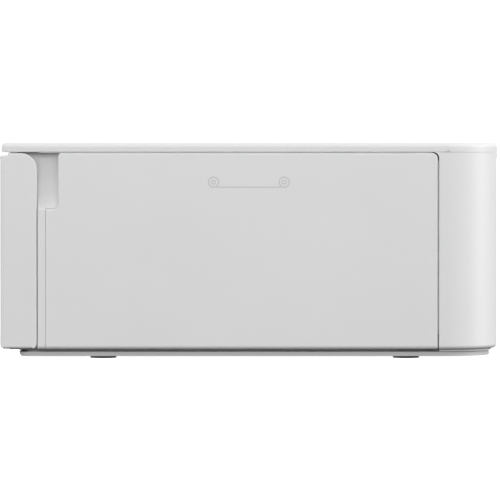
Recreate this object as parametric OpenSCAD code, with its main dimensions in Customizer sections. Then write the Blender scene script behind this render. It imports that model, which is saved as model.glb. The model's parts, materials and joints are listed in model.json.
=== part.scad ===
// Compact photo printer: case, doors, paper and ribbon transport.
// Frame: +X right side, -Y front, +Z up, origin on the ground under the middle.

/* [Case] */
// Width of the case, side to side
case_w = 182.2; // [180:0.2:190]
// Depth of the case, front to rear
case_d = 133.0; // [132:0.2:140]
// Height from the ground to the top
case_h = 57.6; // [57.4:0.1:60]
// Thickness of the moulded walls
wall = 2.2; // [1.8:0.1:2.4]
// Radius of the two upright rear corners
rear_r = 14; // [10:0.5:16]
// Thickness of the top plate
top_t = 2.4; // [2.2:0.1:2.8]

/* [Covers] */
// How far the front cover wraps round the sides
wrap = 9.83; // [8:0.1:10.6]
// Thickness of the front cover panel
panel_t = 1.6; // [1.2:0.1:1.8]
// Thickness of the ink door
door_t = 2.2; // [1.8:0.1:2.2]
// Radius of the finger scoop
scoop_r = 46; // [40:1:60]
// Depth of the finger scoop at its top
scoop_d = 2.9; // [2:0.1:4]

/* [Paper path] */
// Height of the paper path above the ground
path_z = 24; // [23.5:0.1:24.5]
// Half of the clear width for the paper
half_paper = 52; // [51:0.5:52]
// Clear gap between a driven roller and its idler
nip = 0.25; // [0.15:0.05:0.4]

/* [Drive] */
// Gear module
gm = 0.6; // [0.5:0.05:0.6]
// Play between meshing teeth
play = 0.14; // [0.08:0.02:0.2]

/* [Hidden] */
$fn = 48;

hx = case_w / 2;
yf = -case_d / 2;
yr = case_d / 2;
top_z0 = case_h - top_t;
strip_y = yf + wrap + 0.17;
body_y = yf + 2.46;
front_hx = hx - 2.5;
floor_z = 3.9;
hs_z0 = 2.6;
// hinge of the front cover, along X
fc_y = yf + 3.3;
fc_z = 3.8;
// hinge of the ink door, along Z
id_x = hx - 2.1;
id_y = 44.7;
door_y0 = strip_y + 2.21;
door_y1 = 50.1;
door_top = top_z0 - 0.22;
// swing room of the door, and the rounding of its top rear corner
bay_r = 5.95;
door_r = 1.5;
notch_y = -51;
notch_z = 40.05;
// paper transport, positions as [y, z]
cap_r = 3.5;
cap = [46, path_z - cap_r];
pinch_r = 3.6;
pinch = [46, path_z + nip + pinch_r];
plat_r = 5;
plat = [5.6, path_z - plat_r];
ej = [-38, path_z - 3];
ej_idle_r = 2.35;
pick_z = path_z - 4;
pick = [ej[0] + sqrt(pow(28 * gm, 2) - pow(ej[1] - pick_z, 2)), pick_z];
sup = [-20, 36.3];
tak = [28, 36.3];
tube_r = 10.8;
hp = [44, 45.5];
// drive
lay_a0 = -64.2;
lay_a1 = -61.2;
lay_b0 = -68.2;
lay_b1 = -65.2;
red_d = 27 * gm;
red = [cap[0] - sqrt(red_d * red_d - 2.8 * 2.8), cap[1] - 2.8];
feed = [red[0] - 26 * gm, red[1]];
rib_dir = 165;
rib = [tak[0] + 22 * gm * cos(rib_dir), tak[1] + 22 * gm * sin(rib_dir)];
lift_dir = 310;
lift = [hp[0] + 36 * gm * cos(lift_dir), hp[1] + 36 * gm * sin(lift_dir)];
pm = [ej[0], ej[1] + 24 * gm];
brd_z = 50.6;
brd_t = 1.2;
white = [0.9, 0.9, 0.88];
dark = [0.2, 0.2, 0.22];
steel = [0.7, 0.7, 0.72];
green = [0.1, 0.4, 0.2];

module box(x0, x1, y0, y1, z0, z1)
  translate([x0, y0, z0]) cube([x1 - x0, y1 - y0, z1 - z0]);
module xcyl(x0, x1, p, r)
  translate([x0, p[0], p[1]]) rotate([0, 90, 0]) cylinder(r = r, h = x1 - x0);
module zcyl(x, y, z0, z1, r)
  translate([x, y, z0]) cylinder(r = r, h = z1 - z0);
module ypush(x0, x1)
  translate([x0, 0, 0]) rotate([90, 0, 90]) linear_extrude(x1 - x0) children();
module corner(x, y, r, a)
  translate([x, y]) rotate(a) difference() {
    translate([-1, -1]) square(r + 1);
    translate([r, r]) circle(r);
  }
// plan outline with round rear and front corners
module plan(hw, y0, y1, rr, rf)
  difference() {
    translate([-hw, y0]) square([2 * hw, y1 - y0]);
    corner(-hw, y1, rr, 270);
    corner(hw, y1, rr, 180);
    corner(-hw, y0, rf, 0);
    corner(hw, y0, rf, 90);
  }

// what a rounding of radius e takes off an outer edge, seen along it
module rim2d(e) difference() {
  translate([-e, -e]) square(e + 0.5);
  translate([-e, -e]) circle(e);
}
// rounds the rim of a plan outline at height z, its top for s = 1 and its foot for s = -1
module rim(hw, y0, y1, rr, rf, z, e, s = 1, front = true) translate([0, 0, z]) {
  for (m = [0, 1]) mirror([m, 0, 0]) {
    translate([hw, y1 - rr, 0]) rotate([90, 0, 0]) linear_extrude(y1 - rr - y0 - rf) scale([1, s]) rim2d(e);
    for (c = front ? [[y1 - rr, rr, 0], [y0 + rf, rf, 1]] : [[y1 - rr, rr, 0]]) translate([hw - c[1], c[0], 0]) mirror([0, c[2], 0])
      intersection() {
        rotate_extrude() translate([c[1], 0]) scale([1, s]) rim2d(e);
        translate([0, 0, -20]) cube([30, 30, 40]);
      }
  }
  translate([hw - rr, y1, 0]) rotate([90, 0, -90]) linear_extrude(2 * (hw - rr)) scale([-1, s]) rim2d(e);
  if (front) translate([rf - hw, y0, 0]) rotate([90, 0, 90]) linear_extrude(2 * (hw - rf)) scale([-1, s]) rim2d(e);
}

function mesh_angle(ai, ni, nj, phi) =
  phi + 180 - (360 / nj) * ((ai - phi) * ni / 360 + 0.5);
function pol(r, a) = [r * cos(a), r * sin(a)];
module gear2d(n, a, lo = 0, hi = 0) {
  rp = n * gm / 2;
  hpa = (PI * gm / 2 - play) / 2 / rp * 180 / PI;
  ht = (PI * gm / 2 - play - 0.62 * gm * 0.9) / 2 / (rp + 0.8 * gm) * 180 / PI;
  rr = rp - 1.1 * gm;
  hr = n < 24 ? hpa : hpa * 1.35;
  last = hi == 0 ? n - 1 : hi;
  polygon([for (k = [lo:last]) for (q = [[rr, -hr], [rp, -hpa], [rp + 0.8 * gm, -ht],
    [rp + 0.8 * gm, ht], [rp, hpa], [rr, hr]]) pol(q[0], a + 360 * k / n + q[1])]);
}
module gear(x0, x1, p, n, a)
  translate([x0, p[0], p[1]]) rotate([90, 0, 90]) linear_extrude(x1 - x0) gear2d(n, a);

// ---------------------------------------------------------------- case
module base_tray() color(white) difference() {
  union() {
    difference() {
      translate([0, 0, 0.55]) linear_extrude(1.4) plan(hx - 2, yf + 4.9, yr - 2, rear_r - 1.5, 3);
      ypush(-hx, hx) polygon([[yf + 4, 0], [yf + 6.3, 0], [yf + 6.3, 0.55], [yf + 5.6, 0.75],
        [yf + 5.3, 1.1], [yf + 4.9, 2], [yf + 4, 2]]);
    }
    translate([0, 0, 1.5]) linear_extrude(0.9) plan(hx - 2, door_y1 + 0.7, yr - 2, rear_r - 1.5, 0.3);
    translate([0, 0, 1.5]) linear_extrude(0.9) plan(hx - 3.7, yf + 7.1, yr - 3.7, rear_r - 3, 2);
    translate([0, 0, 2.35]) linear_extrude(floor_z - 2.35) union() {
      plan(hx - wall - 0.3, strip_y + 2.5, yr - wall - 0.3, rear_r - wall - 0.3, 0.5);
      translate([-front_hx + wall + 0.3, body_y + wall + 0.2]) square([2 * (front_hx - wall - 0.3), 12]);
    }
  }
  for (x = [-80, 80], y = [-39.3, 42]) zcyl(x, y, 0, 1.2, 3.65);
  zcyl(id_x, id_y, 2.3, 5, bay_r + 0.1);
  for (p = [[-80, -48], [80, -48], [-79, 50], [79, 50]]) {
    zcyl(p[0], p[1], 0, 2.4, 2.9);
    zcyl(p[0], p[1], 2, 4.5, 1.35);
  }
  for (k = [0:5]) box(-40 + 6 * k, -38 + 6 * k, 20, 44, 0, 4.5);
}

module rubber_feet() color(dark)
  for (x = [-80, 80], y = [-39.3, 42]) zcyl(x, y, 0, 1.2, 3.5);

module notch_fill(y0, y1, z0, r)
  difference() {
    translate([y0, z0]) square([y1 - y0, top_z0 - z0]);
    corner(y1, z0, r, 90);
  }

// finger scoop from y0 to y1: a shallow cylinder with a level foot
module scoop(y0, y1) intersection() {
  translate([hx + scoop_r - scoop_d, y0, top_z0]) rotate([-90, 0, 0]) cylinder(r = scoop_r, h = y1 - y0);
  box(hx - 6, hx + 5, y0 - 1, y1 + 1, notch_z + 0.2, 70);
}

module housing_shell() color(white) difference() {
  union() {
    difference() {
      translate([0, 0, hs_z0]) linear_extrude(top_z0 - 0.06 - hs_z0) union() {
        plan(hx, strip_y, yr, rear_r, 0.3);
        translate([-front_hx, body_y]) square([2 * front_hx, 12]);
      }
      translate([0, 0, hs_z0 - 1]) linear_extrude(60) union() {
        plan(hx - wall, strip_y + 2.2, yr - wall, rear_r - wall, 0.5);
        translate([-front_hx + wall, body_y + wall]) square([2 * (front_hx - wall), 14]);
      }
      box(hx - 2.8, hx + 1, door_y0 - 0.08, door_y1 + 0.3, hs_z0 - 1, 60);
      rim(hx, strip_y - 1, yr, rear_r, 0.3, hs_z0, 1.1, -1, false);
    }
    // fillet of the door opening, concentric with the door's own corner
    ypush(hx - wall, hx) difference() {
      translate([door_y1 - door_r, door_top - door_r]) square([door_r + 0.4, door_r + 0.24]);
      translate([door_y1 - door_r, door_top - door_r]) circle(door_r + 0.3);
    }
    // raised lip that carries the top plate
    translate([0, 0, top_z0 - 2]) linear_extrude(2) difference() {
      plan(hx - 0.6, strip_y + 0.6, yr - 0.6, rear_r - 0.6, 0.3);
      plan(hx - wall - 0.6, strip_y + 2.2, yr - wall - 0.6, rear_r - wall - 0.6, 0.3);
      translate([hx - 2.8, door_y0 - 0.08]) square([4, door_y1 + 0.38 - door_y0]);
    }
    // side frame behind the ink door, with the hinge bay at its rear
    box(hx - 5, hx - 2.8, strip_y + 1, 41, floor_z, top_z0);
    box(hx - 9.6, hx - 2.8, 40, door_y1 + 0.3, floor_z, top_z0);
    box(hx - 9.6, hx - wall, door_y1 + 0.3, 53.4, floor_z, top_z0);
    // block of the finger scoop
    box(hx - 8.2, hx - 2.8, -61.9, -44, 36, top_z0);
    box(hx - 8.2, front_hx, -63, -55, 36, top_z0 - 0.06);
    ypush(hx - 5, hx) notch_fill(strip_y + 0.5, notch_y - 0.1, notch_z + 0.1, 1.5);
    for (z = [4, 51.2]) {
      box(id_x - 1.4, id_x - 0.3, 38, id_y, z, z + 2);
      zcyl(id_x, id_y, z, z + 2, 1.1);
    }
    for (p = [[-80, -48], [80, -48], [-79, 50], [79, 50]]) zcyl(p[0], p[1], floor_z, 13, 3);
    // ribs that tie the screw bosses to the walls
    for (y = [-48, 50]) box(1 - hx, -80, y - 0.8, y + 0.8, floor_z, 13);
    box(80, hx - 4, -48.8, -47.2, floor_z, 13);
    for (s = [-1, 1], x = [57, 64]) xcyl(s > 0 ? x : -x - 3, s > 0 ? x + 3 : -x, [fc_y, fc_z], 1.3);
  }
  // swing room of the door, minus nothing but its two lugs
  difference() {
    translate([id_x, id_y, 0]) rotate_extrude() {
      square([bay_r, door_top - door_r]);
      square([bay_r - door_r - 0.3, 60]);
      intersection() {
        translate([bay_r - door_r - 0.3, door_top - door_r]) circle(door_r + 0.3);
        square([20, 70]);
      }
    }
    for (z = [4, 51.2]) {
      box(id_x - 1.4, id_x - 0.3, 36, id_y, z, z + 2);
      zcyl(id_x, id_y, z, z + 2, 1.1);
    }
    box(id_x - 20, id_x + 5, 30, 43, -1, 3.9);
    box(id_x - 20, id_x - 0.7, 30, 41, -1, 61);
  }
  scoop(-63, -46);
  box(hx - 6, hx - 1, -31.8, 39.8, 24.6, 48);
  // front: paper bay and exit
  box(-56, 56, body_y - 1, body_y + wall + 1, 4.6, 31.5);
  for (s = [-1, 1]) box(s > 0 ? 60 : -64, s > 0 ? 64 : -60, body_y - 1, body_y + 3, 2, 5.9);
  for (s = [-1, 1]) xcyl(s > 0 ? 57.5 : -66.5, s > 0 ? 66.5 : -57.5, [fc_y, fc_z], 0.6);
  for (z = [[4.4, 7], [50, 52.8]]) zcyl(id_x, id_y, z[0], z[1], 0.6);
  for (p = [[-80, -48], [80, -48], [-79, 50], [79, 50]]) zcyl(p[0], p[1], 3, 11.4, 1.2);
  // rear: paper slot, vents, power inlet, lock slot
  box(-53, 53, 60, 70, path_z - 2.6, path_z + 2.6);
  for (k = [0:4]) box(-9, 9, 60, 70, 33 + 3 * k, 34.6 + 3 * k);
  box(62.5, 73.5, 62, 70, 8, 19);
  box(-73, -66, 62, 70, 10, 13);
  // left side: card slot and vents
  box(-hx - 1, -hx + 3, 19.5, 44.5, 47.9, 50.2);
  for (k = [0:7]) box(-hx - 1, -hx + 3, -40 + 4 * k, -38.2 + 4 * k, 10, 22);
}

module front_bezel() color(dark) difference() {
  union() {
    box(-56.8, 56.8, body_y - 0.56, body_y, 4.4, 33);
    box(-55.95, 55.95, body_y, body_y + 2.14, 4.7, 31.4);
  }
  box(-54, 54, body_y - 2, body_y + 4, 5.6, 18.6);
  box(-54, 54, body_y - 2, body_y + 4, 19.6, 29.8);
}

module top_plate() color(white) difference() {
  union() {
    difference() {
      translate([0, 0, top_z0]) linear_extrude(top_t) plan(hx, yf + 0.5, yr, rear_r, 1.3);
      rim(hx, yf + 0.5, yr, rear_r, 1.3, case_h, 1.1);
      box(-53, 3, -38, 0, 50, 60);
      box(-57, 7, -42, 4, case_h - 1.2, 60);
      for (p = [[72, -38], [32, -38], [52, -38]]) zcyl(p[0], p[1], 50, 60, 4.2);
      zcyl(52, -14, 50, 60, 13.2);
      zcyl(52, 14, 50, 60, 7.2);
    }
    for (p = [[25, -46], [79, -46], [79, 23], [27, 23], [-78, 14], [-78, 50], [10, 53]])
      zcyl(p[0], p[1], brd_z + brd_t, top_z0 + 0.5, 2.2);
    for (x = [-84.5, 84.5]) box(x > 0 ? 82 : -85.7, x > 0 ? 82.6 : -85.1, -20, 20, 52.6, top_z0 + 0.5);
  }
}

module screen_window() color([0.1, 0.1, 0.12]) box(-56.9, 6.9, -41.9, 3.9, case_h - 1.2, case_h - 0.05);
module lcd_module() color([0.5, 0.52, 0.55]) union() {
  box(-57, 7, -42, 4, 51.9, top_z0);
  box(-53, 3, -38, 0, 54, top_z0 + 0.9);
}

module front_cover() color(white) difference() {
  union() {
    intersection() {
      difference() {
        ypush(-hx, hx) difference() {
          translate([yf, 2.8]) square([wrap, door_top - 2.84]);
          translate([yf - 1, door_top - 0.7]) square([3.2, 2]);
          corner(yf, 2.8, 1, 0);
          corner(yf + wrap, 2.8, 1.4, 90);
          corner(yf + wrap, door_top - 0.04, 4.3, 180);
          corner(yf, door_top - 0.7, 0.5, 270);
        }
        box(-hx + 2, hx - 2, yf + panel_t, 0, 0, 60);
      }
      linear_extrude(60) plan(hx, yf, 0, 1, 1.3);
    }
    for (s = [-1, 1]) {
      box(s > 0 ? 60.3 : -63.7, s > 0 ? 63.7 : -60.3, yf + 0.8, fc_y, fc_z - 1, fc_z + 1.3);
      xcyl(s > 0 ? 60.3 : -63.7, s > 0 ? 63.7 : -60.3, [fc_y, fc_z], 1.3);
    }
  }
  for (s = [-1, 1]) xcyl(s > 0 ? 60 : -64, s > 0 ? 64 : -60, [fc_y, fc_z], 0.65);
}

module front_cover_pins() color(steel)
  for (s = [-1, 1]) xcyl(s > 0 ? 57.5 : -66.5, s > 0 ? 66.5 : -57.5, [fc_y, fc_z], 0.6);

module ink_door() color(white) difference() {
  union() {
    ypush(hx - door_t, hx) difference() {
      union() {
        difference() {
          translate([door_y0, hs_z0]) square([door_y1 - door_y0, door_top - hs_z0]);
          translate([door_y0 - 1, notch_z]) square([notch_y - door_y0 + 1, 20]);
          corner(door_y1, door_top, door_r, 180);
          corner(notch_y, door_top, 1, 270);
        }
        difference() {
          translate([notch_y - 1.6, notch_z - 0.5]) square([1.7, 2.1]);
          translate([notch_y - 1.6, notch_z + 1.6]) circle(1.6);
          translate([notch_y - 1.6, notch_z + 1.6]) square([1.6, 1]);
        }
      }
    }
    box(hx - door_t, hx - 0.9, door_y1 - 0.5, door_y1 + 0.18, 3.8, 6.1);
    zcyl(id_x, id_y, 6.3, 10, 1.15);
    zcyl(id_x, id_y, 47, 50.9, 1.15);
  }
  translate([hx, door_y1 + 1, hs_z0]) rotate([90, 0, 0]) linear_extrude(door_y1 + 2 - door_y0)
    scale([1, -1]) rim2d(1.1);
  // the notch's edge rolls into the scoop
  intersection() {
    scoop(-56, notch_y + 3);
    translate([0, 0, notch_z + 0.2]) linear_extrude(20) difference() {
      translate([hx - 2.1, notch_y - 2.5]) square([3, 4.6]);
      translate([hx - 2.1, notch_y + 2.1]) circle(2.1);
    }
  }
  zcyl(id_x, id_y, 3.7, 6.25, 1.6);
  zcyl(id_x, id_y, 50.95, 53.5, 1.6);
  zcyl(id_x, id_y, 5, 9.8, 0.65);
  zcyl(id_x, id_y, 47.2, 52, 0.65);
}

module ink_door_pins() color(steel) {
  zcyl(id_x, id_y, 4.4, 9.5, 0.6);
  zcyl(id_x, id_y, 47.5, 52.8, 0.6);
}

// ---------------------------------------------------------------- controls
module round_button(x, y, r) color(dark) {
  zcyl(x, y, 53, case_h, r);
  zcyl(x, y, 54.1, top_z0 - 0.05, r + 1);
}
module power_button() round_button(72, -38, 4);
module menu_button() round_button(32, -38, 4);
module back_button() round_button(52, -38, 4);
module print_button() round_button(52, 14, 7);
module ok_button() color(dark) union() {
  zcyl(52, -14, 52.95, case_h, 5.8);
  zcyl(52, -14, 52.95, 53.5, 7.5);
}
module four_way_pad() color(dark) difference() {
  union() {
    zcyl(52, -14, 54.3, case_h, 13);
    zcyl(52, -14, 54.3, top_z0 - 0.05, 14);
    for (a = [0:90:270]) zcyl(52 + 10 * cos(a), -14 + 10 * sin(a), 52.95, 54.5, 1.2);
  }
  zcyl(52, -14, 50, 60, 6.1);
}
module button_board() color(green) difference() {
  union() {
    box(22, 82, -49, 26, brd_z, brd_z + brd_t);
    for (p = [[72, -38], [32, -38], [52, -38], [52, 14], [52, -14], [62, -14], [42, -14],
      [52, -4], [52, -24]]) box(p[0] - 2, p[0] + 2, p[1] - 2, p[1] + 2, brd_z + 1, brd_z + 1.7);
  }
  for (p = [[25, -46], [79, -46], [79, 23], [27, 23]]) zcyl(p[0], p[1], 50, 53, 1);
}
module main_board() color(green) difference() {
  union() {
    box(-84, 16, 8, 58, brd_z, brd_z + brd_t);
    box(-40, -22, 20, 38, brd_z + 1, brd_z + 3.4);
    box(-14, -4, 18, 32, brd_z + 1, brd_z + 2.6);
    box(-70, -60, 40, 50, brd_z + 1, brd_z + 3);
    for (k = [0:2]) zcyl(-66 + 7 * k, 14, brd_z + 1, brd_z + 3.8, 2.4);
  }
  for (p = [[-78, 14], [-78, 50], [10, 53]]) zcyl(p[0], p[1], 50, 53, 1);
}
module card_socket() color(steel) difference() {
  box(-hx + wall, -71.2, 18.5, 45.5, 47.5, brd_z);
  box(-hx, -72, 19.8, 44.2, 48, 50.1);
}
module power_inlet() color(dark) difference() {
  union() {
    box(61.5, 74.5, 53.4, yr - wall, 7, 20);
    box(62.6, 73.4, 60, yr - 0.3, 8.1, 18.9);
    box(61.5, 74.5, 55, yr - wall, floor_z, 8);
  }
  difference() {
    translate([68, 55.5, 13.5]) rotate([-90, 0, 0]) cylinder(r = 3.2, h = 20);
    translate([68, 55, 13.5]) rotate([-90, 0, 0]) cylinder(r = 0.9, h = 9.5);
  }
}

// ---------------------------------------------------------------- chassis
module side_plate(x0, x1) difference() {
  box(x0, x1, -46, 54, floor_z, 49.8);
  for (p = [cap, plat, ej, pick, pinch, hp]) xcyl(x0 - 1, x1 + 1, p, 2.05);
  xcyl(x0 - 1, x1 + 1, [ej[0], path_z + nip + ej_idle_r], 1.25);
}
module chassis_frame() color(steel) difference() {
  union() {
    side_plate(-60, -58.8);
    difference() {
      side_plate(58.8, 60);
      box(58, 61, -31.8, 39.8, 24.6, 48);
    }
    box(-60, 60, -2.9, 54, floor_z, 5.1);
    box(-59, 59, -46, -34, 44, 45.2);
    box(-59, 59, 51.5, 52.7, 31, 49.8);
  }
  xcyl(-61, -58, tak, 4.05);
  xcyl(-61, -58, pm, 3.05);
  box(-9, 9, 50, 54, 31.3, 49.3);
  for (k = [0:5]) box(-40 + 6 * k, -38 + 6 * k, 20, 44, 3, 6);
}
module bay_liner() color(dark) union() {
  box(-55.4, 55.4, -61.7, -8, floor_z, 4.9);
  for (s = [-1, 1]) box(s > 0 ? 54 : -55.4, s > 0 ? 55.4 : -54, -61.7, -8, 4.5, 17.6);
  for (s = [-1, 1]) box(s > 0 ? 54 : -55.4, s > 0 ? 55.4 : -54, -61.7, -43, 17, 19.6);
  box(-55.4, 55.4, -61.7, -43, 18.6, 19.6);
  ypush(-50, 50) polygon([[-15.5, 4.6], [-4, 4.6], [-1.6, 21.9], [-2.4, 22.4], [-10, 16], [-15, 9]]);
}
module paper_guide() color(dark) union() {
  box(-58.8, 58.8, 12.5, 41, path_z - 2, path_z - 1);
  for (x = [-50:20:50]) box(x - 0.6, x + 0.6, 13, 40.5, path_z - 1.5, path_z - 0.5);
  for (s = [-1, 1]) box(s > 0 ? 57.6 : -58.8, s > 0 ? 58.8 : -57.6, 16, 22, 5.1, path_z - 1.5);
}

// ---------------------------------------------------------------- ribbon cassette
module tube(c, a) difference() {
  xcyl(-55, 56, c, tube_r);
  xcyl(-53.4, 54.4, c, tube_r - 1.2);
  xcyl(-56, 57, c, 3.05);
  translate([-51.5, c[0], c[1]]) rotate([90, 0, 90]) linear_extrude(103)
    rotate(a) translate([5, -2]) square([10, 4]);
}
module ribbon_cassette_shell() color([0.25, 0.3, 0.4]) difference() {
  union() {
    tube(sup, -10.5);
    tube(tak, 202);
    box(-55, -53.4, sup[0], tak[0], 25.5, 27.3);
    box(54.4, 56, sup[0], tak[0], 25.5, 47.1);
    for (y = [sup[0] + 7, tak[0] - 7]) box(55.5, 80, y - 0.9, y + 0.9, 29, 44);
    box(80, 84, sup[0] + 6.1, tak[0] - 6.1, 29, 44);
  }
  for (k = [-3:3]) box(83.3, 85, 3.2 + 4 * k, 4.8 + 4 * k, 31, 42);
  for (c = [sup, tak]) xcyl(-56, 57, c, 3.05);
  for (c = [sup, tak]) xcyl(-53.4, 54.4, c, tube_r - 1.2);
}
module spool_core(c) difference() {
  union() {
    xcyl(-53.2, 54.2, c, 4);
    xcyl(-54.9, 55.9, c, 3);
    for (x = [-53.2, 51.6]) xcyl(x, x + 0.9, c, 9.3);
  }
  xcyl(-56, -48, c, 1.9);
  translate([-52, c[0], c[1]]) cube([8, 4.8, 1.7], center = true);
  translate([-52, c[0], c[1]]) cube([8, 1.7, 4.8], center = true);
}
module supply_spool() color([0.85, 0.85, 0.8]) spool_core(sup);
module takeup_spool() color([0.85, 0.85, 0.8]) spool_core(tak);
module roll(c, r) difference() {
  xcyl(-51.2, 51.2, c, r);
  xcyl(-52, 52, c, 4);
}
module supply_ribbon() color([0.55, 0.1, 0.3]) roll(sup, 9);
module takeup_ribbon() color([0.3, 0.2, 0.25]) roll(tak, 6);
// ribbon line: off the supply roll, under the head, up to the take-up roll
function tangent(p, c, r, s) = let (v = c - p, d = norm(v), a = atan2(v[1], v[0]) + s * asin(r / d))
  p + pol(sqrt(d * d - r * r), a);
web1 = [-7, path_z + 0.2];
web2 = [13.5, path_z + 0.2];
web = [tangent(web1, sup, 9.05, -1), web1, web2, tangent(web2, tak, 6.05, 1)];
module ribbon_web() color([0.55, 0.1, 0.3]) ypush(-50, 50)
  polygon([web[0], web[1], web[2], web[3], web[3] + [-0.12, 0.08], web[2] + [-0.06, 0.12],
    web[1] + [0.09, 0.12], web[0] + [0.12, 0.05]]);

// ---------------------------------------------------------------- print head
module print_head() color([0.75, 0.7, 0.6]) union() {
  box(-50.5, 50.5, -1, 9, 28.2, 29.4);
  intersection() {
    xcyl(-50.3, 50.3, [4, 28.25], 0.55);
    box(-52, 52, 3, 5, 27, 28.3);
  }
}
module head_heat_sink() color([0.75, 0.76, 0.78]) union() {
  box(-50.5, 50.5, -3, 11, 29.4, 33);
  for (y = [-3, 3.3, 9.6]) box(-50.5, 50.5, y, y + 1.4, 32.5, 48.6);
  for (y = [0.2, 6.5]) box(-50.5, 50.5, y, y + 1, 32.5, 42);
}
module head_bracket() color(steel) difference() {
  union() {
    box(-50.5, 50.5, -5, 46, 48.6, 49.7);
    box(-54, 54, 40.2, 46, 48.6, 49.7);
    for (s = [-1, 1]) box(s > 0 ? 52.8 : -54, s > 0 ? 54 : -52.8, 40.2, 47.8, 42, 49.2);
  }
  for (s = [-1, 1]) xcyl(s > 0 ? 52 : -55, s > 0 ? 55 : -52, hp, 2);
  for (x = [-36:24:36]) box(x - 8, x + 8, 16, 38, 48, 50);
}
module head_pivot_shaft() color(steel) xcyl(-69, 60.6, hp, 2);
module head_sector() color([0.8, 0.78, 0.7]) difference() {
  union() {
    intersection() {
      gear(lay_b0, lay_b1, hp, 60, lift_dir);
      translate([lay_b0 - 1, hp[0], hp[1]]) rotate([90, 0, 90]) linear_extrude(6)
        polygon([[0, 0], pol(24, lift_dir - 15), pol(24, lift_dir + 15)]);
    }
    xcyl(lay_b0, lay_b1, hp, 4.2);
  }
  xcyl(lay_b0 - 1, lay_b1 + 1, hp, 2);
}

// ---------------------------------------------------------------- rollers
module platen_shaft() color(steel) union() {
  xcyl(-60.6, 60.6, plat, 2);
  xcyl(-54, 54, plat, 2.5);
}
module platen_rubber() color(dark) difference() {
  xcyl(-half_paper, half_paper, plat, plat_r);
  xcyl(-53, 53, plat, 2.5);
}
module capstan_roller() color(steel) union() {
  xcyl(-65, 60.6, cap, 2);
  xcyl(-half_paper, half_paper, cap, cap_r);
}
module pinch_roller() color(steel) union() {
  xcyl(-60.6, 60.6, pinch, 2);
  xcyl(-half_paper, half_paper, pinch, pinch_r);
}
module eject_shaft() color(steel) xcyl(-65, 60.6, ej, 2);
module eject_rubbers() color(dark) for (x = [-37, 0, 37]) difference() {
  xcyl(x - 4, x + 4, ej, 3);
  xcyl(x - 5, x + 5, ej, 2);
}
module eject_idler() color([0.85, 0.85, 0.8]) union() {
  xcyl(-60.6, 60.6, [ej[0], path_z + nip + ej_idle_r], 1.2);
  for (x = [-37, 0, 37]) xcyl(x - 2, x + 2, [ej[0], path_z + nip + ej_idle_r], ej_idle_r);
}
eja = mesh_angle(0, 12, 36, 270);
pka = mesh_angle(eja, 36, 20, atan2(pick[1] - ej[1], pick[0] - ej[0]));
module pickup_shaft() color([0.85, 0.85, 0.8]) union() {
  xcyl(-65, 60.6, pick, 2);
  gear(lay_a0, lay_a1, pick, 20, pka);
}
module pickup_rubber() color(dark) difference() {
  xcyl(-12, 12, pick, 3.8);
  xcyl(-13, 13, pick, 2);
}

// ---------------------------------------------------------------- drive
module bored(x0, x1, p, r) difference() { children(); xcyl(x0 - 1, x1 + 1, p, r); }
rda = mesh_angle(0, 12, 40, 0);
cda = mesh_angle(0, 14, 40, atan2(cap[1] - red[1], cap[0] - red[0]));
tka = mesh_angle(0, 12, 32, rib_dir - 180);
lpa = mesh_angle(lift_dir, 60, 12, lift_dir);
module capstan_gear() color([0.9, 0.9, 0.85]) bored(lay_a0, lay_a1, cap, 2)
  gear(lay_a0, lay_a1, cap, 40, cda);
module reduction_gear() color([0.9, 0.9, 0.85]) union() {
  gear(lay_b0, lay_b1, red, 40, rda);
  gear(lay_b1 - 0.5, lay_a1, red, 14, 0);
  xcyl(-69.9, -60.5, red, 1.5);
}
module feed_motor() color(steel) difference() {
  union() {
    xcyl(-86, -70.6, feed, 10);
    box(-71.8, -70.6, feed[0] - 8, feed[0] + 8, feed[1] - 10, feed[1] + 12);
  }
  xcyl(-73, -70, feed, 1.05);
}
module pinion(p, a, x0, x1, xs0, xs1) color([0.75, 0.65, 0.35]) union() {
  gear(x0, x1, p, 12, a);
  xcyl(xs0, xs1, p, 1);
}
module feed_pinion() pinion(feed, 0, lay_b0, lay_b1, -72.5, lay_b1);
module ribbon_motor() color(steel) difference() {
  xcyl(-86, -70.6, rib, 7.6);
  xcyl(-73, -70, rib, 1.05);
}
module ribbon_pinion() pinion(rib, 0, lay_a0, lay_a1, -72.5, lay_a1);
module head_lift_motor() color(steel) difference() {
  xcyl(-80, -70.6, lift, 5.5);
  xcyl(-73, -70, lift, 1.05);
}
module head_lift_pinion() pinion(lift, lpa, lay_b0, lay_b1, -72.5, lay_b1);
module takeup_drive_gear() color([0.9, 0.9, 0.85]) union() {
  gear(lay_a0, lay_a1, tak, 32, tka);
  xcyl(lay_a1, -56, tak, 4);
  translate([-55, tak[0], tak[1]]) cube([4, 4.4, 1.4], center = true);
  translate([-55, tak[0], tak[1]]) cube([4, 1.4, 4.4], center = true);
}
module pickup_motor() color(steel) difference() {
  union() {
    xcyl(-58.8, -42, pm, 6);
    xcyl(-60, -58.8, pm, 3);
  }
  xcyl(-61, -57, pm, 1.05);
}
module pickup_pinion() pinion(pm, 0, lay_a0, lay_a1, lay_a0, -57.5);
module eject_gear() color([0.9, 0.9, 0.85]) bored(lay_a0, lay_a1, ej, 2)
  gear(lay_a0, lay_a1, ej, 36, eja);
module gear_bracket() color(steel) difference() {
  union() {
    ypush(-70.6, -69.4) difference() {
      translate([4, 5.5]) square([59, 44]);
      translate([42, 36]) square([22, 14]);
      translate([54, 5]) square([10, 4]);
    }
    for (p = [[7, 8.5], [7, 28.5], [58, 11], [36, 47.4]]) xcyl(-70, -60, p, 1.8);
  }
  for (p = [feed, rib, lift]) xcyl(-71, -69, p, 1.6);
  xcyl(-71, -69, red, 1.55);
}
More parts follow.
